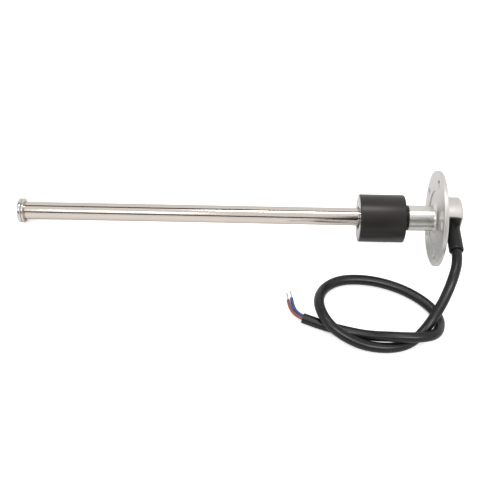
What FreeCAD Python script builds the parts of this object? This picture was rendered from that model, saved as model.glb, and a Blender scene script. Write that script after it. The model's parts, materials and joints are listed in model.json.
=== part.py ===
import FreeCAD, Part
import math
import os

# Float-type fuel level sender, lying on a flat surface on its flange rim and stem tip.
# A magnet float slides on a steel stem and closes reed switches on a board inside it.
# All sizes are in millimetres.
# The pieces are first built in the stem's frame: X runs up the stem axis, X = 0 is the
# flange's seat on the tank, the cable leaves towards -Y and Z is up.

# Stem
STEM_LENGTH = 300.7
TUBE_DIA = 12.7
TUBE_WALL = 0.8

# End plug that closes the tube, and the stop washer against its head
PLUG_LIP = 2.45
PLUG_HEAD = 3.0
PLUG_SPIGOT = 8.0
PLUG_ROUND = 1.35
WASHER_WIDTH = 2.45
WASHER_THICK = 1.6
WASHER_ROUND = 0.7

# Flange
BOLT_CIRCLE = 54.0
BOLT_HOLE = 5.2
BOLT_COUNT = 5
BOLT_TURN_DEG = 20.0
FLANGE_MARGIN = 7.5
FLANGE_THICK = 3.2
FLANGE_ROUND = 0.6
RECESS_MARGIN = 7.0
RECESS_DEPTH = 0.6
RECESS_ROUND = 0.15

# Neck sleeve and the rubber collar under it
NECK_WALL = 2.8
NECK_LENGTH = 19.7
NECK_FLARE = 1.4
COLLAR_WALL = 2.65
COLLAR_LENGTH = 2.6
COLLAR_CHAMFER = 0.9

# Float
FLOAT_DIA = 34.4
FLOAT_LENGTH = 32.4
FLOAT_CLEARANCE = 1.65
FLOAT_REST_GAP = 0.5
FLOAT_ROUND = 1.0
FLOAT_STOP_GAP = 0.4
MAGNET_WALL = 4.0
MAGNET_LENGTH = 8.0

# Cable cap: a round shell with a flat open side for the cable
CAP_DIA = 31.2
CAP_HEIGHT = 14.25
CAP_WALL = 1.0
CAP_ROUND = 1.6
CAP_FLAT = 9.3

# Rubber grommet that fills the open side and grips the cable
PLATE_THICK = 2.8
BOOT_WALL = 1.5
BOOT_LENGTH = 21.0
BOOT_ROUND = 1.0
BOOT_HEADROOM = 0.3
MOUTH_CLEARANCE = 0.35
MOUTH_DEPTH = 2.0

# Cable and its two cores
CABLE_DIA = 7.2
CABLE_INNER_REACH = 2.5
CORE_DIA = 2.3
CORE_GAP = 0.1
CORE_EXIT_ASIDE = 0.5
CORE_EXIT_RISE = 0.2
TIP_DIA = 1.2
TIP_LENGTH = 6.5
LEAD_OVERLAP = 5.0

# Sensor board inside the stem
BOARD_CLEARANCE = 1.55
BOARD_THICK = 1.0
BOARD_TOP_DEPTH = 14.0
POTTING_OVERLAP = 4.0
REED_COUNT = 13
REED_DIA = 2.0
REED_LENGTH = 11.0
REED_LEAD_WIDTH = 0.6
REED_LEAD_THICK = 0.3
REED_LEAD_REACH = 1.5
RESISTOR_LENGTH = 3.2
RESISTOR_WIDTH = 1.6
RESISTOR_HEIGHT = 0.6

# Cable route: offsets in X and Y from the boot's mouth, and height above the surface.
# The cable droops from the boot, makes one loop on the surface and ends beside it.
# The first two points are level with the boot, so they have no height of their own.
CABLE_LEVEL_RUN = 10.0
CABLE_ROUTE = [
    (-4.4, -24.2, 30.5),
    (-10.0, -36.3, 19.5),
    (-17.8, -47.1, 7.7),
    (-29.5, -59.7, 3.6),
    (-43.8, -65.7, 3.6),
    (-61.7, -65.4, 3.6),
    (-77.9, -61.2, 8.2),
    (-89.7, -53.2, 12.1),
    (-95.1, -36.2, 10.4),
    (-89.6, -18.8, 3.6),
    (-77.6, -10.2, 3.6),
    (-60.8, -8.1, 3.6),
    (-44.3, -10.2, 3.6),
    (-28.3, -16.2, 3.6),
    (-14.9, -26.0, 3.6),
    (-8.7, -35.7, 3.6),
    (-9.1, -46.1, 6.2),
    (-14.8, -57.5, 11.4),
    (-27.8, -61.9, 12.6),
    (-44.4, -60.7, 10.7),
    (-60.8, -56.6, 4.1),
    (-77.8, -53.4, 3.6),
    (-92.3, -49.9, 3.6),
    (-103.4, -45.8, 3.6),
]

# Stripped cores: each leaves the jacket's end in line with it and curls away from the loop.
CORE_LEVEL_RUN = 3.0
BROWN_ROUTE = [
    (-111.4, -40.9, 2.9),
    (-113.5, -34.2, 1.6),
    (-114.2, -29.1, 1.3),
]
BLUE_ROUTE = [
    (-109.4, -38.4, 2.9),
    (-111.1, -32.4, 1.6),
    (-111.7, -27.1, 1.3),
]

# Values that follow from the sizes above
V = FreeCAD.Vector
STEM_AXIS = V(1, 0, 0)
OUTLET = V(0, -1, 0)
UP = V(0, 0, 1)
ARC_SHARE = 0.45
ROUND_SHARE = 0.45
tube_radius = TUBE_DIA / 2
tube_bore = tube_radius - TUBE_WALL
plug_radius = tube_radius + PLUG_LIP
plug_round = min(PLUG_ROUND, ROUND_SHARE * PLUG_HEAD)
washer_radius = tube_radius + WASHER_WIDTH
neck_radius = tube_radius + NECK_WALL
collar_radius = tube_radius + COLLAR_WALL
float_radius = FLOAT_DIA / 2
float_bore = tube_radius + FLOAT_CLEARANCE
float_drop = FLOAT_CLEARANCE - FLOAT_REST_GAP
flange_radius = BOLT_CIRCLE / 2 + FLANGE_MARGIN
recess_radius = BOLT_CIRCLE / 2 - RECESS_MARGIN
cap_radius = CAP_DIA / 2
cap_bore = cap_radius - CAP_WALL
boot_radius = CABLE_DIA / 2 + BOOT_WALL
flange_top = FLANGE_THICK
plug_top = -STEM_LENGTH + PLUG_HEAD
washer_top = plug_top + WASHER_THICK
spigot_top = plug_top + PLUG_SPIGOT
neck_bottom = RECESS_DEPTH - NECK_LENGTH
collar_bottom = neck_bottom - COLLAR_LENGTH
float_top = collar_bottom - FLOAT_STOP_GAP
float_bottom = float_top - FLOAT_LENGTH
float_middle = (float_top + float_bottom) / 2
float_travel = float_bottom - washer_top - FLOAT_STOP_GAP
cap_top = flange_top + CAP_HEIGHT
cap_ceiling = cap_top - CAP_WALL
plate_back = CAP_FLAT - PLATE_THICK
outlet_x = cap_top - BOOT_HEADROOM - boot_radius
boot_end = CAP_FLAT + BOOT_LENGTH
mouth_floor = boot_end - MOUTH_DEPTH
jacket_start = plate_back - CABLE_INNER_REACH
board_top = -BOARD_TOP_DEPTH


def ring(low, high, outer, inner=0.0):
    """A cylinder or tube on the stem's axis, given its radii."""
    solid = Part.makeCylinder(outer, high - low, V(low, 0, 0), STEM_AXIS)
    if inner > 0:
        solid = solid.cut(Part.makeCylinder(inner, high - low, V(low, 0, 0), STEM_AXIS))
    return solid


def stem_edges(solid, rims):
    """The circular edges of a turned solid, found by their X and radius."""
    found = []
    for edge in solid.Edges:
        if not isinstance(edge.Curve, Part.Circle):
            continue
        for x, radius in rims:
            same_place = abs(edge.Curve.Center.x - x) < 1e-6
            same_size = abs(edge.Curve.Radius - radius) < 1e-6
            if same_place and same_size:
                found.append(edge)
    return found


def round_off(solid, radius, wall, rims):
    """Rounds circular edges of a turned solid, by no more than its wall has room for."""
    return solid.makeFillet(min(radius, ROUND_SHARE * wall), stem_edges(solid, rims))


def slab(near, far):
    """A large block between two distances from the stem's axis towards the cable outlet."""
    width = 4 * cap_radius
    return Part.makeBox(width, far - near, width, V(-cap_radius, -far, -width / 2))


def rod(start, end, diameter):
    """A round bar between two points."""
    return Part.makeCylinder(diameter / 2, (end - start).Length, start, end - start)


def tube_along(points, diameter, label):
    """A round cord: straight runs joined by the largest tangent arcs that they allow."""
    edges = []
    radii = []
    here = points[0]
    for before, corner, after in zip(points, points[1:], points[2:]):
        into = (corner - before).normalize()
        out = (after - corner).normalize()
        turn = into.getAngle(out)
        setback = ARC_SHARE * min((corner - before).Length, (after - corner).Length)
        radius = setback / math.tan(turn / 2)
        start = corner - into * setback
        end = corner + out * setback
        inward = (out - into).normalize()
        middle = corner + inward * (radius / math.cos(turn / 2) - radius)
        edges.append(Part.makeLine(here, start))
        edges.append(Part.Arc(start, middle, end).toShape())
        radii.append(round(radius, 1))
        here = end
    edges.append(Part.makeLine(here, points[-1]))
    path = Part.Wire(edges)
    section = Part.Wire([Part.makeCircle(diameter / 2, points[0], points[1] - points[0])])
    solid = path.makePipeShell([section], True, False)
    expected = math.pi * diameter ** 2 / 4 * path.Length
    print(label, "length", round(path.Length, 1), "bend radii", radii)
    print(label, "volume", round(solid.Volume, 1), "section times length", round(expected, 1))
    return solid


def mounting_flange():
    """Turned disc with a raised rim on the tank side and evenly spaced bolt holes."""
    solid = ring(0, flange_top, flange_radius)
    rims = [(0, flange_radius), (flange_top, flange_radius)]
    solid = round_off(solid, FLANGE_ROUND, FLANGE_THICK, rims)
    solid = solid.cut(ring(0, RECESS_DEPTH, recess_radius))
    solid = round_off(solid, RECESS_ROUND, RECESS_DEPTH, [(0, recess_radius)])
    solid = solid.cut(ring(RECESS_DEPTH, flange_top, tube_radius))
    for number in range(BOLT_COUNT):
        angle = math.radians(BOLT_TURN_DEG + number * 360 / BOLT_COUNT)
        centre = V(0, math.sin(angle) * BOLT_CIRCLE / 2, math.cos(angle) * BOLT_CIRCLE / 2)
        solid = solid.cut(Part.makeCylinder(BOLT_HOLE / 2, FLANGE_THICK, centre, STEM_AXIS))
    return solid


def neck_sleeve():
    """Thick sleeve round the top of the stem, flared where it is welded into the recess."""
    foot = RECESS_DEPTH
    bend = math.sqrt(0.5) * NECK_FLARE
    inner_low = V(neck_bottom, 0, tube_radius)
    outer_low = V(neck_bottom, 0, neck_radius)
    flare_start = V(foot - NECK_FLARE, 0, neck_radius)
    flare_middle = V(foot - NECK_FLARE + bend, 0, neck_radius + NECK_FLARE - bend)
    flare_end = V(foot, 0, neck_radius + NECK_FLARE)
    inner_high = V(foot, 0, tube_radius)
    outline = Part.Wire([
        Part.makeLine(inner_low, outer_low),
        Part.makeLine(outer_low, flare_start),
        Part.Arc(flare_start, flare_middle, flare_end).toShape(),
        Part.makeLine(flare_end, inner_high),
        Part.makeLine(inner_high, inner_low),
    ])
    return Part.Face(outline).revolve(V(0, 0, 0), STEM_AXIS, 360)


def stop_collar():
    """Rubber bumper under the neck, chamfered towards the float."""
    solid = ring(collar_bottom, neck_bottom, collar_radius, tube_radius)
    return solid.makeChamfer(COLLAR_CHAMFER, stem_edges(solid, [(collar_bottom, collar_radius)]))


def end_plug():
    """Plug welded into the open end of the tube, with a rounded head."""
    head = ring(-STEM_LENGTH, plug_top, plug_radius)
    rims = [(-STEM_LENGTH, plug_radius), (plug_top, plug_radius)]
    head = head.makeFillet(plug_round, stem_edges(head, rims))
    return head.fuse(ring(plug_top, spigot_top, tube_bore))


def stop_washer():
    """Steel ring on the tube's end that the float lands on."""
    solid = ring(plug_top, washer_top, washer_radius, tube_radius)
    rims = [(plug_top, washer_radius), (washer_top, washer_radius)]
    return round_off(solid, WASHER_ROUND, WASHER_THICK, rims)


def magnet_ring():
    """Ring magnet set flush in the bore, half way along the float."""
    half = MAGNET_LENGTH / 2
    return ring(float_middle - half, float_middle + half, float_bore + MAGNET_WALL, float_bore)


def float_body():
    """Foamed rubber float with a wide bore and a groove for the magnet."""
    solid = ring(float_bottom, float_top, float_radius, float_bore)
    rims = [(float_bottom, float_radius), (float_top, float_radius)]
    solid = round_off(solid, FLOAT_ROUND, float_radius - float_bore, rims)
    return solid.cut(magnet_ring())


def hung(solid):
    """A piece of the float, lowered as far as its bore lets it hang on the stem."""
    return solid.translated(UP * -float_drop)


def cap_form():
    """The full round of the cap with its rounded top edge, before the flat is cut."""
    solid = ring(flange_top, cap_top, cap_radius)
    return solid.makeFillet(CAP_ROUND, stem_edges(solid, [(cap_top, cap_radius)]))


def cable_cap():
    """Drawn steel shell, open on its flat side and closed underneath by the flange."""
    solid = cap_form().cut(slab(CAP_FLAT, CAP_DIA))
    return solid.cut(ring(flange_top, cap_ceiling, cap_bore))


def on_outlet(distance):
    """A point on the cable outlet's axis, at a distance from the stem's axis."""
    return V(outlet_x, 0, 0) + OUTLET * distance


def cable_grommet(jacket):
    """Moulded rubber plate that fills the shell's open side, with a boot round the cable."""
    plate = ring(flange_top, cap_ceiling, cap_bore).common(slab(plate_back, CAP_FLAT))
    boot = rod(on_outlet(CAP_FLAT), on_outlet(boot_end), 2 * boot_radius)
    end_rim = [edge for edge in boot.Edges if abs(edge.CenterOfMass.y + boot_end) < 1e-6]
    boot = boot.makeFillet(min(BOOT_ROUND, BOOT_WALL - MOUTH_CLEARANCE), end_rim)
    mouth = rod(on_outlet(mouth_floor), on_outlet(boot_end), CABLE_DIA + 2 * MOUTH_CLEARANCE)
    body = plate.fuse(boot).removeSplitter()
    return body.cut([mouth, jacket])


def lead_wire(side):
    """One core inside the head, bent from the jacket's end down to a face of the board."""
    offset = UP * (side * (BOARD_THICK + CORE_DIA) / 2)
    start = on_outlet(jacket_start) + offset
    bend_end = V(outlet_x - jacket_start, 0, 0) + offset
    bend_inside = jacket_start * (1 - math.sqrt(0.5))
    bend_middle = V(outlet_x - bend_inside, -bend_inside, 0) + offset
    end = V(board_top - LEAD_OVERLAP, 0, 0) + offset
    path = Part.Wire([
        Part.Arc(start, bend_middle, bend_end).toShape(),
        Part.makeLine(bend_end, end),
    ])
    section = Part.Wire([Part.makeCircle(CORE_DIA / 2, start, OUTLET)])
    return path.makePipeShell([section], True, False)


def sensor_board():
    """Narrow circuit board from the end plug to just below the flange."""
    half_width = tube_bore - BOARD_CLEARANCE
    corner = V(spigot_top, -half_width, -BOARD_THICK / 2)
    return Part.makeBox(board_top - spigot_top, 2 * half_width, BOARD_THICK, corner)


def reed_switch(x):
    """Glass capsule lying on the board, with a flat lead bent down at each end."""
    board_face = BOARD_THICK / 2
    axis_height = board_face + REED_DIA / 2
    half = REED_LENGTH / 2
    solid = rod(V(x - half, 0, axis_height), V(x + half, 0, axis_height), REED_DIA)
    for side in (-1, 1):
        glass_end = x + side * half
        outer = glass_end + side * REED_LEAD_REACH
        inner = outer - side * REED_LEAD_THICK
        top = axis_height + REED_LEAD_THICK / 2
        under = axis_height - REED_LEAD_THICK / 2
        corners = [(glass_end, top), (outer, top), (outer, board_face), (inner, board_face)]
        corners += [(inner, under), (glass_end, under)]
        outline = [V(corner_x, -REED_LEAD_WIDTH / 2, corner_z) for corner_x, corner_z in corners]
        strip = Part.Face(Part.makePolygon(outline + outline[:1]))
        solid = solid.fuse(strip.extrude(V(0, REED_LEAD_WIDTH, 0)))
    return solid


def resistor(x):
    """Chip resistor on the back of the board."""
    corner = V(x - RESISTOR_LENGTH / 2, -RESISTOR_WIDTH / 2, -BOARD_THICK / 2 - RESISTOR_HEIGHT)
    return Part.makeBox(RESISTOR_LENGTH, RESISTOR_WIDTH, RESISTOR_HEIGHT, corner)


def potting(pieces_inside):
    """Sealing compound that fills the cap and the top of the tube."""
    solid = ring(flange_top, cap_ceiling, cap_bore).cut(slab(plate_back, CAP_DIA))
    solid = solid.fuse(ring(board_top - POTTING_OVERLAP, flange_top, tube_bore))
    for piece in pieces_inside:
        solid = solid.cut(piece)
    return solid


def resting_tilt():
    """Stem tilt at which the rounded rims of the flange and of the plug both touch a plane."""
    apart = STEM_LENGTH + FLANGE_ROUND - plug_round
    step = (flange_radius - FLANGE_ROUND) - (plug_radius - plug_round)
    return math.atan2(step, apart) - math.asin((plug_round - FLANGE_ROUND) / math.hypot(apart, step))


def save(name, shape):
    shape.exportStep(os.path.join("parts", name + ".step"))


# Reed switches stand where the magnet's middle passes them, evenly from stop to stop.
reed_pitch = float_travel / (REED_COUNT - 1)
reed_places = [float_middle - number * reed_pitch for number in range(REED_COUNT)]

jacket_inside = rod(on_outlet(jacket_start), on_outlet(mouth_floor), CABLE_DIA)
board = sensor_board()
lead_brown = lead_wire(1)
lead_blue = lead_wire(-1)

stem_pieces = {
    "mounting_flange": mounting_flange(),
    "stem_tube": ring(plug_top, flange_top, tube_radius, tube_bore),
    "neck_sleeve": neck_sleeve(),
    "stop_collar": stop_collar(),
    "end_plug": end_plug(),
    "stop_washer": stop_washer(),
    "float_body": hung(float_body()),
    "float_magnet": hung(magnet_ring()),
    "cable_cap": cable_cap(),
    "cable_grommet": cable_grommet(jacket_inside),
    "sensor_board": board,
    "lead_brown": lead_brown,
    "lead_blue": lead_blue,
    "potting": potting([jacket_inside, lead_brown, lead_blue, board]),
}
for number, x in enumerate(reed_places):
    stem_pieces["reed_switch_%02d" % (number + 1)] = reed_switch(x)
for number, x in enumerate(reed_places[1:]):
    stem_pieces["resistor_%02d" % (number + 1)] = resistor(x + reed_pitch / 2)

# The sender lies with the flange's rim and the plug's head on the surface, so the stem
# rises towards the flange. The origin is on the surface under the middle of its box.
tilt_deg = math.degrees(resting_tilt())
tilted = FreeCAD.Placement(V(0, 0, 0), FreeCAD.Rotation(V(0, 1, 0), -tilt_deg))
raised = Part.makeCompound(list(stem_pieces.values()))
raised.Placement = tilted
box = raised.optimalBoundingBox()
to_surface = FreeCAD.Placement(V(-box.Center.x, -box.Center.y, -box.ZMin), FreeCAD.Rotation())
lying = to_surface.multiply(tilted)

os.makedirs("parts", exist_ok=True)
for name, shape in stem_pieces.items():
    shape.Placement = lying.multiply(shape.Placement)
    save(name, shape)

# The free cable starts at the floor of the boot's mouth.
mouth = lying.multVec(on_outlet(mouth_floor))


def on_surface(route):
    """Points of a route, from offsets to the mouth and heights above the surface."""
    return [V(mouth.x + dx, mouth.y + dy, height) for dx, dy, height in route]


level_end = mouth + OUTLET * CABLE_LEVEL_RUN
cable_points = [mouth, level_end] + on_surface(CABLE_ROUTE)
jacket_inside.Placement = lying.multiply(jacket_inside.Placement)
free_cable = tube_along(cable_points, CABLE_DIA, "cable")
save("cable_jacket", free_cable.fuse(jacket_inside).removeSplitter())

# The two cores leave the jacket's end side by side, and each ends in a tinned tip.
cable_end = cable_points[-1]
along = (cable_end - cable_points[-2]).normalize()
beside = UP.cross(along)
cores_centre = cable_end - beside * CORE_EXIT_ASIDE + UP * CORE_EXIT_RISE
for name, side, route in (("brown", 1, BROWN_ROUTE), ("blue", -1, BLUE_ROUTE)):
    core_start = cores_centre + beside * (side * (CORE_DIA + CORE_GAP) / 2)
    core_points = [core_start, core_start + along * CORE_LEVEL_RUN] + on_surface(route)
    save("core_" + name, tube_along(core_points, CORE_DIA, "core_" + name))
    tip_start = core_points[-1]
    tip_way = (tip_start - core_points[-2]).normalize()
    save("tip_" + name, rod(tip_start, tip_start + tip_way * TIP_LENGTH, TIP_DIA))

print("stem tilt", round(tilt_deg, 3), "float travel", round(float_travel, 2))
print("flange seat centre", lying.multVec(V(0, 0, 0)))
print("stem direction", lying.Rotation.multVec(STEM_AXIS))
print("boot mouth", mouth)
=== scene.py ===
import json
import math

import bmesh
import bpy
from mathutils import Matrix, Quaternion, Vector


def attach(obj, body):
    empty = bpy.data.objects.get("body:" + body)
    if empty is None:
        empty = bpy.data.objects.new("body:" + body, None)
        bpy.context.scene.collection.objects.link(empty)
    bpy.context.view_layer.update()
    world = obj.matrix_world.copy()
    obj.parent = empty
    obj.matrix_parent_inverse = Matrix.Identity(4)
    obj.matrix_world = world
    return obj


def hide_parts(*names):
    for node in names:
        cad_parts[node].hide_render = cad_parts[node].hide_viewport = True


# The sender as it lies
# The rim of the flange and the head of the plug rest on the surface, so the stem rises
# towards the flange. Every place below is taken from the flange's seat and the stem's line.
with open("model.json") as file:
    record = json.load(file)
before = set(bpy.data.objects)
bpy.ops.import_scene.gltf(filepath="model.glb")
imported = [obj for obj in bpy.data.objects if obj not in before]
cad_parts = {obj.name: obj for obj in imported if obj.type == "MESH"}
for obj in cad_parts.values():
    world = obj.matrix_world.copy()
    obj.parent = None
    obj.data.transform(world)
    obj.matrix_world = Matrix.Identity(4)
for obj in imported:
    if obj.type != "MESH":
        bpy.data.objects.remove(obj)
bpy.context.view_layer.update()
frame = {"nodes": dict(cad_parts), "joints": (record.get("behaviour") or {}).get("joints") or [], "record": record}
MM = 0.001
mounts = {mount["name"]: mount for mount in frame["record"]["mounts"]}
seat = Vector(mounts["flange_bolts"]["pos_m"])
stem_way = Vector(frame["joints"][0]["axis"]).normalized()
across = Vector((0, 1, 0))
stem_out = stem_way.cross(across)
stem_tilt = math.asin(stem_way.z)


# Stem tube
# A thin stainless tube, drawn and then polished along its length. It runs from the plug at
# its tip to the back of the flange, and the float slides on it.
TUBE_RADIUS = 6.35 * MM
TUBE_BORE = 5.55 * MM
TUBE_LOW = -297.7 * MM
TUBE_HIGH = 3.2 * MM
TUBE_ROUND = 0.15 * MM
LINE_LENGTH = 60 * MM
LINE_WIDTH = 0.35 * MM
LINE_DEPTH = 0.02 * MM
RING_PITCH = 0.3125 * MM
NEAR = 0.002 * MM
TURN_STEPS = 144
ROUND_STEPS = 5
SMOOTH_ANGLE = math.radians(32)


def select_where(piece, kind, test):
    """In edit mode, selects only the corners, edges or faces that pass a test."""
    bpy.ops.mesh.select_mode(type=kind)
    bpy.ops.mesh.select_all(action="DESELECT")
    mesh = bmesh.from_edit_mesh(piece.data)
    for part in {"VERT": mesh.verts, "EDGE": mesh.edges, "FACE": mesh.faces}[kind]:
        if test(part):
            part.select_set(True)
    bmesh.update_edit_mesh(piece.data)


def turn(name, outline, centre=seat, way=stem_way, out=stem_out, steps=TURN_STEPS):
    """Spins a closed outline of (along, radius, rounding) corners round its axis, as on a lathe."""
    corners = [centre + way * along + out * radius for along, radius, rounding in outline]
    bpy.ops.object.select_all(action="DESELECT")
    bpy.ops.mesh.primitive_plane_add(size=MM, location=corners[0])
    piece = bpy.context.object
    piece.name = name
    piece.data.name = name
    bpy.ops.object.transform_apply(location=True, rotation=True, scale=True)
    bpy.ops.object.mode_set(mode="EDIT")
    bpy.ops.mesh.select_mode(type="VERT")
    bpy.ops.mesh.merge(type="CENTER")
    for here, there in zip(corners, corners[1:]):
        bpy.ops.mesh.extrude_region_move(TRANSFORM_OT_translate={"value": there - here})
    bpy.ops.mesh.select_all(action="SELECT")
    bpy.ops.mesh.edge_face_add()
    for corner, (along, radius, rounding) in zip(corners, outline):
        if rounding > 0:
            select_where(piece, "VERT", lambda vert: (vert.co - corner).length < NEAR)
            bpy.ops.mesh.bevel(offset=rounding, segments=ROUND_STEPS, affect="VERTICES")
    bpy.ops.mesh.select_all(action="SELECT")
    bpy.ops.mesh.delete(type="ONLY_FACE")
    select_where(
        piece, "EDGE",
        lambda edge: all((vert.co - centre).cross(way).length < NEAR for vert in edge.verts))
    bpy.ops.mesh.delete(type="EDGE")
    bpy.ops.mesh.select_all(action="SELECT")
    bpy.ops.mesh.spin(steps=steps, angle=math.tau, center=centre, axis=way)
    bpy.ops.mesh.select_all(action="SELECT")
    bpy.ops.mesh.remove_doubles(threshold=NEAR)
    bpy.ops.mesh.normals_make_consistent(inside=False)
    bpy.ops.object.mode_set(mode="OBJECT")
    bpy.ops.object.shade_smooth_by_angle(angle=SMOOTH_ANGLE)
    return piece


def dress(piece, finish, slot, body, *nodes):
    """Gives a piece its finish, hangs it on the body it moves with and hides the solids it replaces."""
    piece.data.materials.clear()
    piece.data.materials.append(finish)
    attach(piece, body)
    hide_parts(*nodes)


def new_finish(name):
    """A new material, its node tree and its shader."""
    finish = bpy.data.materials.new(name)
    finish.use_nodes = True
    return finish, finish.node_tree, finish.node_tree.nodes["Principled BSDF"]


def add_node(tree, kind, inputs=(), **settings):
    """Adds a node, sets it up and fills its inputs with values or links."""
    node = tree.nodes.new(kind)
    for name, value in settings.items():
        setattr(node, name, value)
    for name, value in dict(inputs).items():
        if isinstance(value, bpy.types.NodeSocket):
            tree.links.new(value, node.inputs[name])
        else:
            node.inputs[name].default_value = value
    return node


def add_group(name, inputs, outputs):
    """An empty node group with its sockets, and its own input and output nodes."""
    tree = bpy.data.node_groups.new(name, "ShaderNodeTree")
    for socket, kind, value in inputs:
        made = tree.interface.new_socket(socket, in_out="INPUT", socket_type=kind)
        if value is not None:
            made.default_value = value
    for socket in outputs:
        tree.interface.new_socket(socket, in_out="OUTPUT", socket_type="NodeSocketFloat")
    return tree, tree.nodes.new("NodeGroupInput").outputs, tree.nodes.new("NodeGroupOutput").inputs


def along_stem(tree, place, stretch):
    """Object coordinates centred on the flange's seat and turned to lie along the stem."""
    return add_node(
        tree, "ShaderNodeMapping", {
            "Vector": place,
            "Location": seat,
            "Rotation": (0, -stem_tilt, 0),
            "Scale": stretch,
        }, vector_type="TEXTURE").outputs["Vector"]


def add_bump(tree, shader, height, strength, distance):
    """A fine relief on the surface."""
    bump = add_node(tree, "ShaderNodeBump", {
        "Height": height, "Strength": strength, "Distance": distance})
    tree.links.new(bump.outputs["Normal"], shader.inputs["Normal"])


def two_tones(tree, shader, mask, first, second):
    """Base colour between two tones by a mask."""
    ramp = add_node(tree, "ShaderNodeValToRGB", {"Fac": mask})
    ramp.color_ramp.elements[0].color = (*first, 1)
    ramp.color_ramp.elements[1].color = (*second, 1)
    tree.links.new(ramp.outputs["Color"], shader.inputs["Base Color"])


def swing_roughness(tree, mask, given):
    """A group's roughness, swung round its given value by a mask."""
    centred = add_node(tree, "ShaderNodeMath", {0: mask, 1: 0.5}, operation="SUBTRACT")
    rough = add_node(tree, "ShaderNodeMath", {
        0: centred.outputs[0], 1: given["Swing"], 2: given["Roughness"]}, operation="MULTIPLY_ADD")
    return rough.outputs[0]


def make_steel_marks():
    """Polishing lines with faint clouds: a tone, a roughness and a height."""
    tree, given, made = add_group("steel_marks", [
        ("Lines", "NodeSocketVector", None),
        ("Place", "NodeSocketVector", None),
        ("Roughness", "NodeSocketFloat", 0.2),
        ("Swing", "NodeSocketFloat", 0.1),
    ], ["Tone", "Roughness", "Height"])
    lines = add_node(tree, "ShaderNodeTexNoise", {
        "Vector": given["Lines"], "Scale": 1.0, "Detail": 3.0, "Roughness": 0.6})
    clouds = add_node(tree, "ShaderNodeTexNoise", {
        "Vector": given["Place"], "Scale": 60.0, "Detail": 4.0, "Roughness": 0.55})
    both = add_node(tree, "ShaderNodeMix", {
        "Factor": 0.45, "A": lines.outputs["Fac"], "B": clouds.outputs["Fac"]})
    tree.links.new(both.outputs[0], made["Tone"])
    tree.links.new(swing_roughness(tree, both.outputs[0], given), made["Roughness"])
    tree.links.new(lines.outputs["Fac"], made["Height"])
    return tree


steel_marks = make_steel_marks()


def steel_finish(name, dark, light, lines_by, roughness, swing, relief, edge):
    """A stainless finish with polishing lines.

    lines_by gives the coordinates that the lines follow, and edge dims the steel seen at a slant.
    """
    finish, tree, shader = new_finish(name)
    place = add_node(tree, "ShaderNodeTexCoord").outputs["Object"]
    marks = add_node(tree, "ShaderNodeGroup", {
        "Lines": lines_by(tree, place), "Place": place, "Roughness": roughness, "Swing": swing,
    }, node_tree=steel_marks)
    two_tones(tree, shader, marks.outputs["Tone"], dark, light)
    tree.links.new(marks.outputs["Roughness"], shader.inputs["Roughness"])
    add_bump(tree, shader, marks.outputs["Height"], relief, LINE_DEPTH)
    shader.inputs["Metallic"].default_value = 1.0
    shader.inputs["Specular Tint"].default_value = (edge, edge, edge, 1)
    return finish


def lengthwise(tree, place):
    """Lines drawn out along the stem: fine across it, long in its direction."""
    return along_stem(tree, place, (LINE_LENGTH, LINE_WIDTH, LINE_WIDTH))


def ringwise(tree, place):
    """Rings round the stem's axis, as a lathe tool leaves them: distance out, then along."""
    turned = add_node(tree, "ShaderNodeSeparateXYZ", {
        "Vector": along_stem(tree, place, (RING_PITCH, RING_PITCH, RING_PITCH))}).outputs
    side = add_node(tree, "ShaderNodeCombineXYZ", {"Y": turned["Y"], "Z": turned["Z"]})
    out = add_node(tree, "ShaderNodeVectorMath", {0: side.outputs["Vector"]}, operation="LENGTH")
    rings = add_node(tree, "ShaderNodeCombineXYZ", {"X": out.outputs["Value"], "Y": turned["X"]})
    return rings.outputs["Vector"]


stem_steel = steel_finish(
    "polished_stem", dark=(0.58, 0.515, 0.46), light=(0.7, 0.63, 0.57), lines_by=lengthwise,
    roughness=0.13, swing=0.08, relief=0.015, edge=0.72)
tube = turn("steel_stem", [
    (TUBE_LOW, TUBE_BORE, 0),
    (TUBE_LOW, TUBE_RADIUS, TUBE_ROUND),
    (TUBE_HIGH, TUBE_RADIUS, 0),
    (TUBE_HIGH, TUBE_BORE, 0),
])
dress(tube, stem_steel, "stem_steel", "sender", "stem_tube")


# End plug
# A turned stainless plug pressed and welded into the open tip of the tube. Its rounded head
# closes the stem and stands proud of it all round.
PLUG_RADIUS = 8.8 * MM
PLUG_TIP = -300.7 * MM
PLUG_TOP = -297.7 * MM
SPIGOT_TOP = -289.7 * MM
PLUG_ROUND = 1.35 * MM
SPIGOT_ROUND = 0.3 * MM
turned_steel = steel_finish(
    "turned_tip", dark=(0.55, 0.525, 0.49), light=(0.7, 0.675, 0.64), lines_by=ringwise,
    roughness=0.16, swing=0.12, relief=0.25, edge=0.72)
plug = turn("steel_plug", [
    (PLUG_TIP, 0, 0),
    (PLUG_TIP, PLUG_RADIUS, PLUG_ROUND),
    (PLUG_TOP, PLUG_RADIUS, PLUG_ROUND),
    (PLUG_TOP, TUBE_BORE, 0),
    (SPIGOT_TOP, TUBE_BORE, SPIGOT_ROUND),
    (SPIGOT_TOP, 0, 0),
])
dress(plug, turned_steel, "stem_steel", "sender", "end_plug")


# Stop washer
# A stainless ring pushed over the tube against the plug's head. The float lands on it when
# the tank is empty.
WASHER_RADIUS = 8.8 * MM
WASHER_TOP = -296.1 * MM
WASHER_ROUND = 0.7 * MM
WASHER_BORE_ROUND = 0.1 * MM
washer = turn("steel_washer", [
    (PLUG_TOP, TUBE_RADIUS, 0),
    (PLUG_TOP, WASHER_RADIUS, WASHER_ROUND),
    (WASHER_TOP, WASHER_RADIUS, WASHER_ROUND),
    (WASHER_TOP, TUBE_RADIUS, WASHER_BORE_ROUND),
])
dress(washer, turned_steel, "stem_steel", "sender", "stop_washer")


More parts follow.
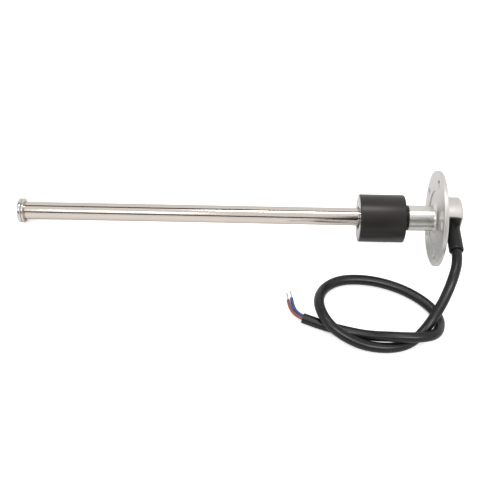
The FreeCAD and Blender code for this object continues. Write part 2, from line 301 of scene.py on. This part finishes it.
# Mounting flange
# A turned stainless disc with a shallow recess round the neck on the tank side. Five bolt
# holes, their rims broken by a chamfer, are drilled evenly round it.
FLANGE_RADIUS = 34.5 * MM
FLANGE_THICK = 3.2 * MM
FLANGE_ROUND = 0.6 * MM
RECESS_RADIUS = 20.0 * MM
RECESS_DEPTH = 0.6 * MM
RECESS_ROUND = 0.15 * MM
BOLT_CIRCLE = mounts["flange_bolts"]["dims"]["pcd_mm"] / 2 * MM
BOLT_RADIUS = mounts["flange_bolts"]["dims"]["hole_r_mm"] * MM
BOLT_COUNT = mounts["flange_bolts"]["dims"]["count"]
BOLT_TURN = math.radians(20)
RIM_CHAMFER = 0.9 * MM
CUTTER_REACH = 2 * MM
DRILL_STEPS = 48
FLANGE_STEPS = 200


def pick(piece):
    """Selects one piece alone and makes it the active one."""
    bpy.ops.object.select_all(action="DESELECT")
    piece.select_set(True)
    bpy.context.view_layer.objects.active = piece


def apply_modifier(piece, kind, **settings):
    """Adds a modifier to a piece and applies it."""
    pick(piece)
    modifier = piece.modifiers.new(kind.lower(), kind)
    for name, value in settings.items():
        setattr(modifier, name, value)
    bpy.ops.object.modifier_apply(modifier=modifier.name)


def cut_away(piece, cutter):
    """Cuts one piece out of another and deletes the cutter."""
    apply_modifier(piece, "BOOLEAN", operation="DIFFERENCE", solver="EXACT", object=cutter)
    bpy.data.objects.remove(cutter)


flange_steel = steel_finish(
    "turned_flange", dark=(0.57, 0.555, 0.53), light=(0.71, 0.695, 0.67), lines_by=ringwise,
    roughness=0.42, swing=0.16, relief=0.3, edge=0.95)
flange = turn("steel_flange", [
    (RECESS_DEPTH, TUBE_RADIUS, 0),
    (RECESS_DEPTH, RECESS_RADIUS, 0),
    (0, RECESS_RADIUS, RECESS_ROUND),
    (0, FLANGE_RADIUS, FLANGE_ROUND),
    (FLANGE_THICK, FLANGE_RADIUS, FLANGE_ROUND),
    (FLANGE_THICK, TUBE_RADIUS, 0),
], steps=FLANGE_STEPS)
drill_wide = BOLT_RADIUS + RIM_CHAMFER + CUTTER_REACH
for number in range(BOLT_COUNT):
    angle = BOLT_TURN + number * math.tau / BOLT_COUNT
    bolt_out = across * math.sin(angle) + stem_out * math.cos(angle)
    drill = turn("drill", [
        (-CUTTER_REACH, 0, 0),
        (-CUTTER_REACH, drill_wide, 0),
        (RIM_CHAMFER, BOLT_RADIUS, 0),
        (FLANGE_THICK - RIM_CHAMFER, BOLT_RADIUS, 0),
        (FLANGE_THICK + CUTTER_REACH, drill_wide, 0),
        (FLANGE_THICK + CUTTER_REACH, 0, 0),
    ], centre=seat + bolt_out * BOLT_CIRCLE, steps=DRILL_STEPS)
    cut_away(flange, drill)
bpy.ops.object.shade_smooth_by_angle(angle=SMOOTH_ANGLE)
dress(flange, flange_steel, "flange_steel", "sender", "mounting_flange")


# Neck sleeve
# A thick stainless sleeve round the top of the stem. Its foot flares out in the weld to the
# flange's recess, and its lower end backs the rubber stop.
NECK_RADIUS = 9.15 * MM
NECK_LOW = -19.1 * MM
NECK_FLARE = 2.7 * MM
NECK_ROUND = 0.25 * MM
FLARE_STEPS = 10


def flare_steps(size):
    """A quarter-round flare in steps: what is left to run, and how far it has spread."""
    angles = [math.pi / 2 * step / FLARE_STEPS for step in range(FLARE_STEPS + 1)]
    return [(size * (1 - math.sin(angle)), size * (1 - math.cos(angle))) for angle in angles]


neck_steel = steel_finish(
    "brushed_neck", dark=(0.6, 0.58, 0.545), light=(0.76, 0.74, 0.7), lines_by=lengthwise,
    roughness=0.3, swing=0.12, relief=0.14, edge=0.85)
neck = turn("steel_neck", [
    (NECK_LOW, TUBE_RADIUS, 0),
    (NECK_LOW, NECK_RADIUS, NECK_ROUND),
    *((RECESS_DEPTH - left, NECK_RADIUS + spread, 0) for left, spread in flare_steps(NECK_FLARE)),
    (RECESS_DEPTH, TUBE_RADIUS, 0),
])
dress(neck, neck_steel, "stem_steel", "sender", "neck_sleeve")


# Stop collar
# A moulded black rubber bumper under the neck, chamfered on the float's side. The float
# comes up against it when the tank is full.
COLLAR_RADIUS = 9.0 * MM
COLLAR_LOW = -21.7 * MM
COLLAR_CHAMFER = 0.9 * MM
COLLAR_ROUND = 0.2 * MM
CHAMFER_ROUND = 0.15 * MM
PORE_DEPTH = 0.05 * MM


def make_rubber_skin():
    """Moulded rubber: faint clouds and fine pores, as a tone, a roughness and a height."""
    tree, given, made = add_group("rubber_skin", [
        ("Place", "NodeSocketVector", None),
        ("Pores", "NodeSocketFloat", 2500.0),
        ("Roughness", "NodeSocketFloat", 0.5),
        ("Swing", "NodeSocketFloat", 0.15),
    ], ["Tone", "Roughness", "Height"])
    clouds = add_node(tree, "ShaderNodeTexNoise", {
        "Vector": given["Place"], "Scale": 110.0, "Detail": 5.0, "Roughness": 0.6})
    pores = add_node(tree, "ShaderNodeTexNoise", {
        "Vector": given["Place"], "Scale": given["Pores"], "Detail": 2.0, "Roughness": 0.5})
    both = add_node(tree, "ShaderNodeMix", {
        "Factor": 0.4, "A": clouds.outputs["Fac"], "B": pores.outputs["Fac"]})
    tree.links.new(both.outputs[0], made["Tone"])
    tree.links.new(swing_roughness(tree, clouds.outputs["Fac"], given), made["Roughness"])
    tree.links.new(pores.outputs["Fac"], made["Height"])
    return tree


rubber_skin = make_rubber_skin()


def rubber_finish(name, dark, light, pores, roughness, swing, relief, gloss=0.5):
    """A moulded rubber or plastic finish of two near tones."""
    finish, tree, shader = new_finish(name)
    place = add_node(tree, "ShaderNodeTexCoord").outputs["Object"]
    skin = add_node(tree, "ShaderNodeGroup", {
        "Place": place, "Pores": pores, "Roughness": roughness, "Swing": swing,
    }, node_tree=rubber_skin)
    two_tones(tree, shader, skin.outputs["Tone"], dark, light)
    tree.links.new(skin.outputs["Roughness"], shader.inputs["Roughness"])
    add_bump(tree, shader, skin.outputs["Height"], relief, PORE_DEPTH)
    shader.inputs["Specular IOR Level"].default_value = gloss
    return finish


black_rubber = rubber_finish(
    "black_rubber", dark=(0.005, 0.005, 0.0052), light=(0.009, 0.009, 0.0092), pores=1800,
    roughness=0.37, swing=0.2, relief=0.2, gloss=0.27)
collar = turn("rubber_collar", [
    (COLLAR_LOW, TUBE_RADIUS, COLLAR_ROUND),
    (COLLAR_LOW, COLLAR_RADIUS - COLLAR_CHAMFER, CHAMFER_ROUND),
    (COLLAR_LOW + COLLAR_CHAMFER, COLLAR_RADIUS, CHAMFER_ROUND),
    (NECK_LOW, COLLAR_RADIUS, COLLAR_ROUND),
    (NECK_LOW, TUBE_RADIUS, 0),
])
dress(collar, black_rubber, "black_rubber", "sender", "stop_collar")


# Float
# A cylinder of closed-cell rubber foam with a satin skin, rounded rims and smooth ends. Its wide
# bore runs free on the stem and hangs on it, and a groove in the bore holds the ring magnet.
FLOAT_RADIUS = 17.2 * MM
FLOAT_BORE = 8.0 * MM
FLOAT_LOW = -54.5 * MM
FLOAT_HIGH = -22.1 * MM
FLOAT_DROP = 1.15 * MM
FLOAT_ROUND = 1.0 * MM
BORE_ROUND = 0.4 * MM
MAGNET_WALL = 4.0 * MM
MAGNET_HALF = 4.0 * MM
FLOAT_STEPS = 192
FLOAT_TINT = (1, 0.92, 0.9, 1)
END_FACING = 0.97
END_ROUGHNESS = 0.12
magnet_middle = (FLOAT_LOW + FLOAT_HIGH) / 2


def smooth_ends(finish):
    """A smooth sheen on the faces that look along the stem."""
    tree = finish.node_tree
    shader = tree.nodes["Principled BSDF"]
    facing = tree.nodes.new("ShaderNodeNewGeometry").outputs["True Normal"]
    along = add_node(tree, "ShaderNodeVectorMath", {0: facing, 1: stem_way}, operation="DOT_PRODUCT")
    depth = add_node(tree, "ShaderNodeMath", {0: along.outputs["Value"]}, operation="ABSOLUTE")
    is_end = add_node(tree, "ShaderNodeMath", {
        0: depth.outputs[0], 1: END_FACING}, operation="GREATER_THAN")
    tree.links.new(is_end.outputs[0], shader.inputs["Coat Weight"])
    shader.inputs["Coat Roughness"].default_value = END_ROUGHNESS
    shader.inputs["Specular Tint"].default_value = FLOAT_TINT


float_foam = rubber_finish(
    "float_skin", dark=(0.003, 0.0029, 0.0027), light=(0.006, 0.0058, 0.0054), pores=2200,
    roughness=0.37, swing=0.12, relief=0.28, gloss=0.52)
smooth_ends(float_foam)
float_piece = turn("foam_float", [
    (FLOAT_LOW, FLOAT_BORE, BORE_ROUND),
    (FLOAT_LOW, FLOAT_RADIUS, FLOAT_ROUND),
    (FLOAT_HIGH, FLOAT_RADIUS, FLOAT_ROUND),
    (FLOAT_HIGH, FLOAT_BORE, BORE_ROUND),
    (magnet_middle + MAGNET_HALF, FLOAT_BORE, 0),
    (magnet_middle + MAGNET_HALF, FLOAT_BORE + MAGNET_WALL, 0),
    (magnet_middle - MAGNET_HALF, FLOAT_BORE + MAGNET_WALL, 0),
    (magnet_middle - MAGNET_HALF, FLOAT_BORE, 0),
], centre=seat - stem_out * FLOAT_DROP, steps=FLOAT_STEPS)
dress(float_piece, float_foam, "float_foam", "float", "float_body")


# Pieces inside
# A ring magnet in the float, and in the stem a narrow circuit board with glass reed switches
# and chip resistors, two leads and the resin that seals them. They keep their plain forms.
magnet_ferrite = rubber_finish(
    "magnet_ferrite", dark=(0.03, 0.03, 0.032), light=(0.07, 0.07, 0.074), pores=3000,
    roughness=0.55, swing=0.2, relief=0.3)
board_green = rubber_finish(
    "board_green", dark=(0.004, 0.075, 0.02), light=(0.008, 0.12, 0.035), pores=1500,
    roughness=0.35, swing=0.1, relief=0.2)
reed_glass = rubber_finish(
    "reed_glass", dark=(0.35, 0.5, 0.4), light=(0.5, 0.65, 0.55), pores=900,
    roughness=0.08, swing=0.05, relief=0.05)
resistor_black = rubber_finish(
    "resistor_black", dark=(0.01, 0.01, 0.01), light=(0.025, 0.025, 0.025), pores=4000,
    roughness=0.4, swing=0.1, relief=0.2)
potting_resin = rubber_finish(
    "potting_resin", dark=(0.012, 0.01, 0.008), light=(0.03, 0.025, 0.02), pores=700,
    roughness=0.25, swing=0.15, relief=0.1)
brown_core = rubber_finish(
    "core_brown", dark=(0.19, 0.055, 0.031), light=(0.29, 0.085, 0.047), pores=2500,
    roughness=0.36, swing=0.15, relief=0.12)
blue_core = rubber_finish(
    "core_blue", dark=(0.023, 0.055, 0.2), light=(0.038, 0.086, 0.3), pores=2500,
    roughness=0.36, swing=0.15, relief=0.12)
inside_finishes = {
    "float_magnet": magnet_ferrite,
    "sensor_board": board_green,
    "reed_switch": reed_glass,
    "resistor": resistor_black,
    "potting": potting_resin,
    "lead_brown": brown_core,
    "lead_blue": blue_core,
}
for start_of_name, finish in inside_finishes.items():
    for name, node in frame["nodes"].items():
        if name.startswith(start_of_name):
            node.data.materials.clear()
            node.data.materials.append(finish)


# Cable cap
# A drawn stainless shell with a rounded top edge, welded to the back of the flange over the
# end of the stem. One side is cut flat for the cable outlet.
CAP_RADIUS = 15.6 * MM
CAP_BORE = 14.6 * MM
CAP_TOP = 17.45 * MM
CAP_CEILING = 16.45 * MM
CAP_ROUND = 1.6 * MM
CAP_FLAT = 9.3 * MM
CEILING_ROUND = 0.3 * MM
EDGE_BREAK = 0.2 * MM
EDGE_STEPS = 2
EDGE_ANGLE = math.radians(50)


def slice_off(piece, distance, keep_near):
    """Cuts a piece flat at a distance out towards the cable outlet and closes the cut."""
    pick(piece)
    bpy.ops.object.mode_set(mode="EDIT")
    bpy.ops.mesh.select_all(action="SELECT")
    bpy.ops.mesh.bisect(
        plane_co=-across * distance, plane_no=-across, use_fill=True,
        clear_outer=keep_near, clear_inner=not keep_near)
    bpy.ops.mesh.select_all(action="SELECT")
    bpy.ops.mesh.normals_make_consistent(inside=False)
    bpy.ops.object.mode_set(mode="OBJECT")


cap_steel = steel_finish(
    "drawn_cap", dark=(0.57, 0.545, 0.515), light=(0.71, 0.68, 0.65), lines_by=ringwise,
    roughness=0.42, swing=0.14, relief=0.2, edge=0.85)
cap = turn("steel_cap", [
    (FLANGE_THICK, CAP_BORE, 0),
    (FLANGE_THICK, CAP_RADIUS, 0),
    (CAP_TOP, CAP_RADIUS, CAP_ROUND),
    (CAP_TOP, 0, 0),
    (CAP_CEILING, 0, 0),
    (CAP_CEILING, CAP_BORE, CEILING_ROUND),
])
slice_off(cap, CAP_FLAT, keep_near=True)
apply_modifier(
    cap, "BEVEL", width=EDGE_BREAK, segments=EDGE_STEPS, limit_method="ANGLE",
    angle_limit=EDGE_ANGLE)
bpy.ops.object.shade_smooth_by_angle(angle=SMOOTH_ANGLE)
dress(cap, cap_steel, "cap_steel", "sender", "cable_cap")


# Cable grommet
# One black rubber moulding: a plate that fills the open side of the cap, flush with its edge,
# and a round boot that holds the cable. The cable leaves through the boot's open mouth.
PLATE_BACK = 6.5 * MM
PLATE_ROUND = 0.3 * MM
PLATE_STEPS = 4
OUTLET_ALONG = 12.05 * MM
BOOT_RADIUS = 5.1 * MM
BOOT_END = 30.3 * MM
BOOT_ROUND = 1.0 * MM
BOOT_FOOT = 0.25 * MM
BOOT_STEPS = 96
ROOT_RADIUS = 4.2 * MM
ROOT_DEPTH = 2.0 * MM
MOUTH_RADIUS = 3.95 * MM
MOUTH_FLOOR = 28.3 * MM


def join_to(piece, other):
    """Fuses another piece into this one."""
    apply_modifier(piece, "BOOLEAN", operation="UNION", solver="EXACT", object=other)
    bpy.data.objects.remove(other)


grommet = turn("rubber_grommet", [
    (FLANGE_THICK, 0, 0),
    (FLANGE_THICK, CAP_BORE, 0),
    (CAP_CEILING, CAP_BORE, 0),
    (CAP_CEILING, 0, 0),
])
slice_off(grommet, PLATE_BACK, keep_near=False)
slice_off(grommet, CAP_FLAT, keep_near=True)
bpy.ops.object.mode_set(mode="EDIT")
select_where(
    grommet, "EDGE", lambda edge: all(abs(vert.co.y + CAP_FLAT) < NEAR for vert in edge.verts))
bpy.ops.mesh.bevel(offset=PLATE_ROUND, segments=PLATE_STEPS, affect="EDGES")
bpy.ops.object.mode_set(mode="OBJECT")
boot = turn("boot", [
    (CAP_FLAT - ROOT_DEPTH, 0, 0),
    (CAP_FLAT - ROOT_DEPTH, ROOT_RADIUS, 0),
    (CAP_FLAT, ROOT_RADIUS, 0),
    *((CAP_FLAT + rise, BOOT_RADIUS + left, 0) for left, rise in flare_steps(BOOT_FOOT)),
    (BOOT_END, BOOT_RADIUS, BOOT_ROUND),
    (BOOT_END, MOUTH_RADIUS, BORE_ROUND),
    (MOUTH_FLOOR, MOUTH_RADIUS, 0),
    (MOUTH_FLOOR, 0, 0),
], centre=seat + stem_way * OUTLET_ALONG, way=-across, out=stem_way, steps=BOOT_STEPS)
join_to(grommet, boot)
bpy.ops.object.shade_smooth_by_angle(angle=SMOOTH_ANGLE)
dress(grommet, black_rubber, "black_rubber", "sender", "cable_grommet")


# Cable
# A round black cable with a limp PVC jacket. It droops from the boot to the surface, makes
# one loose loop there, crosses over itself and ends stripped beside the loop.
CABLE_RADIUS = 3.6 * MM
CABLE_LEVEL_RUN = 10.0 * MM
CORD_ROUNDNESS = 7
CORD_STEPS = 16
# Offsets from the boot's mouth in X and Y, and height above the surface, in millimetres.
CABLE_ROUTE = [
    (-4.4, -24.2, 30.5),
    (-10.0, -36.3, 19.5),
    (-17.8, -47.1, 7.7),
    (-29.5, -59.5, 3.6),
    (-43.8, -65.3, 3.6),
    (-61.7, -65.0, 3.6),
    (-77.9, -61.2, 8.2),
    (-89.7, -53.2, 12.1),
    (-95.1, -36.2, 10.4),
    (-89.6, -18.8, 3.6),
    (-77.6, -10.2, 3.6),
    (-60.8, -8.1, 3.6),
    (-44.3, -10.2, 3.6),
    (-28.3, -16.2, 3.6),
    (-14.9, -26.0, 3.6),
    (-8.7, -35.7, 3.6),
    (-9.1, -46.1, 5.9),
    (-14.9, -56.9, 11.0),
    (-27.8, -61.2, 12.6),
    (-44.4, -60.5, 10.7),
    (-60.8, -56.6, 4.1),
    (-77.8, -53.4, 3.6),
    (-92.3, -49.9, 3.6),
    (-104.4, -45.4, 3.6),
]
mouth = seat + stem_way * OUTLET_ALONG - across * MOUTH_FLOOR


def on_surface(route):
    """Points of a route, from offsets to the mouth and heights above the surface."""
    return [Vector((mouth.x + dx * MM, mouth.y + dy * MM, height * MM)) for dx, dy, height in route]


def draw_cord(name, points, radius):
    """A round cord along one smooth open spline."""
    curve = bpy.data.curves.new(name, "CURVE")
    curve.dimensions = "3D"
    curve.bevel_depth = radius
    curve.bevel_resolution = CORD_ROUNDNESS
    curve.resolution_u = CORD_STEPS
    curve.use_fill_caps = True
    spline = curve.splines.new("NURBS")
    spline.points.add(len(points) - 1)
    for spot, point in zip(spline.points, points):
        spot.co = (*point, 1)
    spline.order_u = 3
    spline.use_endpoint_u = True
    spline.use_smooth = True
    cord = bpy.data.objects.new(name, curve)
    bpy.context.scene.collection.objects.link(cord)
    return cord


cable_black = rubber_finish(
    "cable_jacket", dark=(0.003, 0.003, 0.003), light=(0.006, 0.006, 0.006), pores=1400,
    roughness=0.33, swing=0.16, relief=0.2, gloss=0.34)
cable_points = [mouth, mouth - across * CABLE_LEVEL_RUN] + on_surface(CABLE_ROUTE)
cable = draw_cord("cable", cable_points, CABLE_RADIUS)
dress(cable, cable_black, "cable_black", "sender", "cable_jacket")


# Stripped cores
# Two small insulated cores, brown and blue, that come out of the jacket's cut end and curl
# away from the loop.
CORE_RADIUS = 1.15 * MM
CORE_GAP = 0.1 * MM
CORE_EXIT_ASIDE = 0.5 * MM
CORE_EXIT_RISE = 0.2 * MM
CORE_LEVEL_RUN = 3.0 * MM
BROWN_ROUTE = [(-111.25, -40.7, 2.9), (-113.5, -34.2, 1.6), (-114.15, -29.5, 1.3)]
BLUE_ROUTE = [(-109.6, -38.65, 2.9), (-111.1, -32.4, 1.6), (-111.65, -27.6, 1.3)]
up = Vector((0, 0, 1))
cable_end = cable_points[-1]
end_way = (cable_end - cable_points[-2]).normalized()
beside = up.cross(end_way)
cores_centre = cable_end - beside * CORE_EXIT_ASIDE + up * CORE_EXIT_RISE
core_ends = {}
for colour, side, route, finish in (
        ("brown", 1, BROWN_ROUTE, brown_core),
        ("blue", -1, BLUE_ROUTE, blue_core)):
    core_start = cores_centre + beside * (side * (CORE_RADIUS + CORE_GAP / 2))
    core_points = [core_start, core_start + end_way * CORE_LEVEL_RUN] + on_surface(route)
    core = draw_cord(colour + "_core", core_points, CORE_RADIUS)
    dress(core, finish, "core_" + colour, "sender", "core_" + colour)
    core_ends[colour] = (core_points[-1], (core_points[-1] - core_points[-2]).normalized())


# Tinned tips
# The bared end of each core: seven fine copper strands, one in the middle and six round it,
# twisted together and dipped in solder.
TIP_RADIUS = 0.6 * MM
TIP_LENGTH = 6.5 * MM
STRAND_RADIUS = 0.21 * MM
STRAND_RING = TIP_RADIUS - STRAND_RADIUS
RING_STRANDS = 6
STRAND_SIDES = 12
STRAND_CUTS = 24
STRAND_TWIST = math.radians(300)
tinned_copper = steel_finish(
    "tinned_copper", dark=(0.62, 0.6, 0.57), light=(0.78, 0.77, 0.75), lines_by=ringwise,
    roughness=0.3, swing=0.2, relief=0.2, edge=0.8)


def add_strand(x, y):
    """One straight strand standing on the origin's plane, cut into short lengths."""
    bpy.ops.mesh.primitive_cylinder_add(
        vertices=STRAND_SIDES, radius=STRAND_RADIUS, depth=TIP_LENGTH,
        location=(x, y, TIP_LENGTH / 2))
    strand = bpy.context.object
    bpy.ops.object.mode_set(mode="EDIT")
    select_where(
        strand, "EDGE",
        lambda edge: abs(edge.verts[0].co.z - edge.verts[1].co.z) > TIP_LENGTH / 2)
    bpy.ops.mesh.subdivide_edgering(number_cuts=STRAND_CUTS)
    bpy.ops.object.mode_set(mode="OBJECT")
    return strand


for colour, (tip_start, tip_way) in core_ends.items():
    bpy.ops.object.select_all(action="DESELECT")
    strands = [add_strand(0, 0)]
    for number in range(RING_STRANDS):
        angle = number * math.tau / RING_STRANDS
        strands.append(add_strand(STRAND_RING * math.cos(angle), STRAND_RING * math.sin(angle)))
    for strand in strands:
        strand.select_set(True)
    tip = strands[0]
    bpy.context.view_layer.objects.active = tip
    bpy.ops.object.join()
    tip.name = colour + "_tip"
    tip.data.name = tip.name
    bpy.ops.object.transform_apply(location=True, rotation=True, scale=True)
    apply_modifier(tip, "SIMPLE_DEFORM", deform_method="TWIST", deform_axis="Z", angle=STRAND_TWIST)
    tip.location = tip_start
    tip.rotation_euler = tip_way.to_track_quat("Z", "Y").to_euler()
    bpy.ops.object.transform_apply(location=True, rotation=True, scale=True)
    bpy.ops.object.shade_smooth_by_angle(angle=SMOOTH_ANGLE)
    dress(tip, tinned_copper, "tinned_copper", "sender", "tip_" + colour)


# Studio
# A white surface in a white room, with soft lamps over the stem and the cable. Dark boards out
# of view draw the lines that polished steel shows along its length.
WHITE = (1, 1, 1, 1)
FLOOR_SIZE = 8.0
FLOOR_DROP = 0.05 * MM
FLOOR_COLOUR = (0.8, 0.8, 0.8, 1)
FLOOR_ROUGHNESS = 0.9
FLOOR_GLOW = 0.62
FLOOR_GLEAM = 0.08
GAP_REACH = 20 * MM
GAP_SAMPLES = 8
GAP_CLOSED = 0.1
GAP_OPEN = 0.28
WORLD_LIGHT = 1.0
scene = bpy.context.scene
scene.view_settings.view_transform = "Standard"

world = bpy.data.worlds.new("white_room")
scene.world = world
world.use_nodes = True
background = world.node_tree.nodes["Background"]
background.inputs["Color"].default_value = WHITE
background.inputs["Strength"].default_value = WORLD_LIGHT

# The floor glows for the camera, except in the narrow gaps under and between the pieces, where
# an occlusion mask dims the glow: painted shade in those gaps. In reflections, and through glass,
# it glows a little.
bpy.ops.object.select_all(action="DESELECT")
bpy.ops.mesh.primitive_plane_add(size=FLOOR_SIZE, location=(0, 0, -FLOOR_DROP))
floor = bpy.context.object
floor.name = "white_floor"
white_floor, tree, shader = new_finish("white_floor")
shader.inputs["Base Color"].default_value = FLOOR_COLOUR
shader.inputs["Roughness"].default_value = FLOOR_ROUGHNESS
shader.inputs["Specular IOR Level"].default_value = 0.0
shader.inputs["Emission Color"].default_value = WHITE
openness = add_node(
    tree, "ShaderNodeAmbientOcclusion", {"Distance": GAP_REACH}, samples=GAP_SAMPLES)
glow_with_painted_gap_shade = add_node(tree, "ShaderNodeMapRange", {
    "Value": openness.outputs["AO"], "From Min": GAP_CLOSED, "From Max": GAP_OPEN,
    "To Max": FLOOR_GLOW})
path = tree.nodes.new("ShaderNodeLightPath")
bounced = add_node(tree, "ShaderNodeMath", {
    0: path.outputs["Is Glossy Ray"], 1: path.outputs["Is Transmission Ray"]},
    operation="MAXIMUM")
gleam = add_node(tree, "ShaderNodeMath", {
    0: bounced.outputs[0], 1: FLOOR_GLEAM}, operation="MULTIPLY")
glow = add_node(tree, "ShaderNodeMath", {
    0: path.outputs["Is Camera Ray"], 1: glow_with_painted_gap_shade.outputs["Result"], 2: gleam.outputs[0]},
    operation="MULTIPLY_ADD")
tree.links.new(glow.outputs[0], shader.inputs["Emission Strength"])
floor.data.materials.append(white_floor)

# Boards and lamps stand round the stem's line. Each has a middle and a length along X, a width,
# an angle in degrees up from the front and a distance, in metres. A lamp also has its power in
# watts and, where it lights some pieces alone, those pieces.
RIG_HEIGHT = 25 * MM
BOARD_COLOUR = (0.02, 0.02, 0.02, 1)
BOARDS = (
    ("back_board", -0.82, 1.44, 0.28, 115, 0.9),
    ("narrow_board", 0.025, 0.25, 0.14, 115, 0.9),
    ("front_board", -0.63, 1.76, 0.24, 24, 0.9),
    ("side_board", 0.185, 0.2, 1.1, 25, 0.9),
)
LAMPS = (
    ("left_softbox", -0.4, 0.34, 0.21, 51, 0.85, 1.0, ()),
    ("right_softbox", -0.025, 0.39, 0.1, 95, 0.85, 2.0, ()),
    ("cable_softbox", 0.2, 0.5, 0.16, 53, 0.92, 5.0, (cable, grommet)),
)


def stand_round(angle_deg, distance, middle):
    """A place round the stem's line, and the turn that faces the line from there."""
    swing = math.radians(angle_deg)
    facing = Vector((0, -math.cos(swing), math.sin(swing)))
    spot = Vector((middle, 0, RIG_HEIGHT)) + facing * distance
    return spot, (-facing).to_track_quat("-Z", "Y").to_euler()


dark_board, tree, shader = new_finish("dark_board")
shader.inputs["Base Color"].default_value = BOARD_COLOUR
shader.inputs["Roughness"].default_value = 1.0
for name, middle, length, width, angle_deg, distance in BOARDS:
    spot, aim = stand_round(angle_deg, distance, middle)
    bpy.ops.mesh.primitive_plane_add(size=1, location=spot, rotation=aim)
    board = bpy.context.object
    board.name = name
    board.scale = (length, width, 1)
    board.data.materials.append(dark_board)
    board.visible_camera = False
    board.visible_diffuse = False
    board.visible_shadow = False
for name, middle, length, width, angle_deg, distance, power, lit in LAMPS:
    spot, aim = stand_round(angle_deg, distance, middle)
    bpy.ops.object.light_add(type="AREA", location=spot, rotation=aim)
    lamp = bpy.context.object
    lamp.name = name
    lamp.data.shape = "RECTANGLE"
    lamp.data.size = length
    lamp.data.size_y = width
    lamp.data.energy = power
    if lit:
        lit_pieces = bpy.data.collections.new("lit_pieces")
        lamp.light_linking.receiver_collection = lit_pieces
        for piece in lit:
            lit_pieces.objects.link(piece)


# Camera
# It looks down on the lying sender from the front, turned a little so that the stem rises
# to the left as in the photograph.
CAMERA_PLACE = Vector((-0.0238, -0.4013, 0.4727))
CAMERA_TARGET = Vector((0.00225, -0.02205, 0.02))
CAMERA_ROLL = math.radians(7.34)
CAMERA_LENS = 62.47
SENSOR = 36.0
bpy.ops.object.camera_add(location=CAMERA_PLACE)
camera = bpy.context.object
camera.data.lens = CAMERA_LENS
camera.data.sensor_width = SENSOR
aim = (CAMERA_TARGET - CAMERA_PLACE).to_track_quat("-Z", "Y")
camera.rotation_euler = (aim @ Quaternion((0, 0, 1), CAMERA_ROLL)).to_euler()
scene.camera = camera
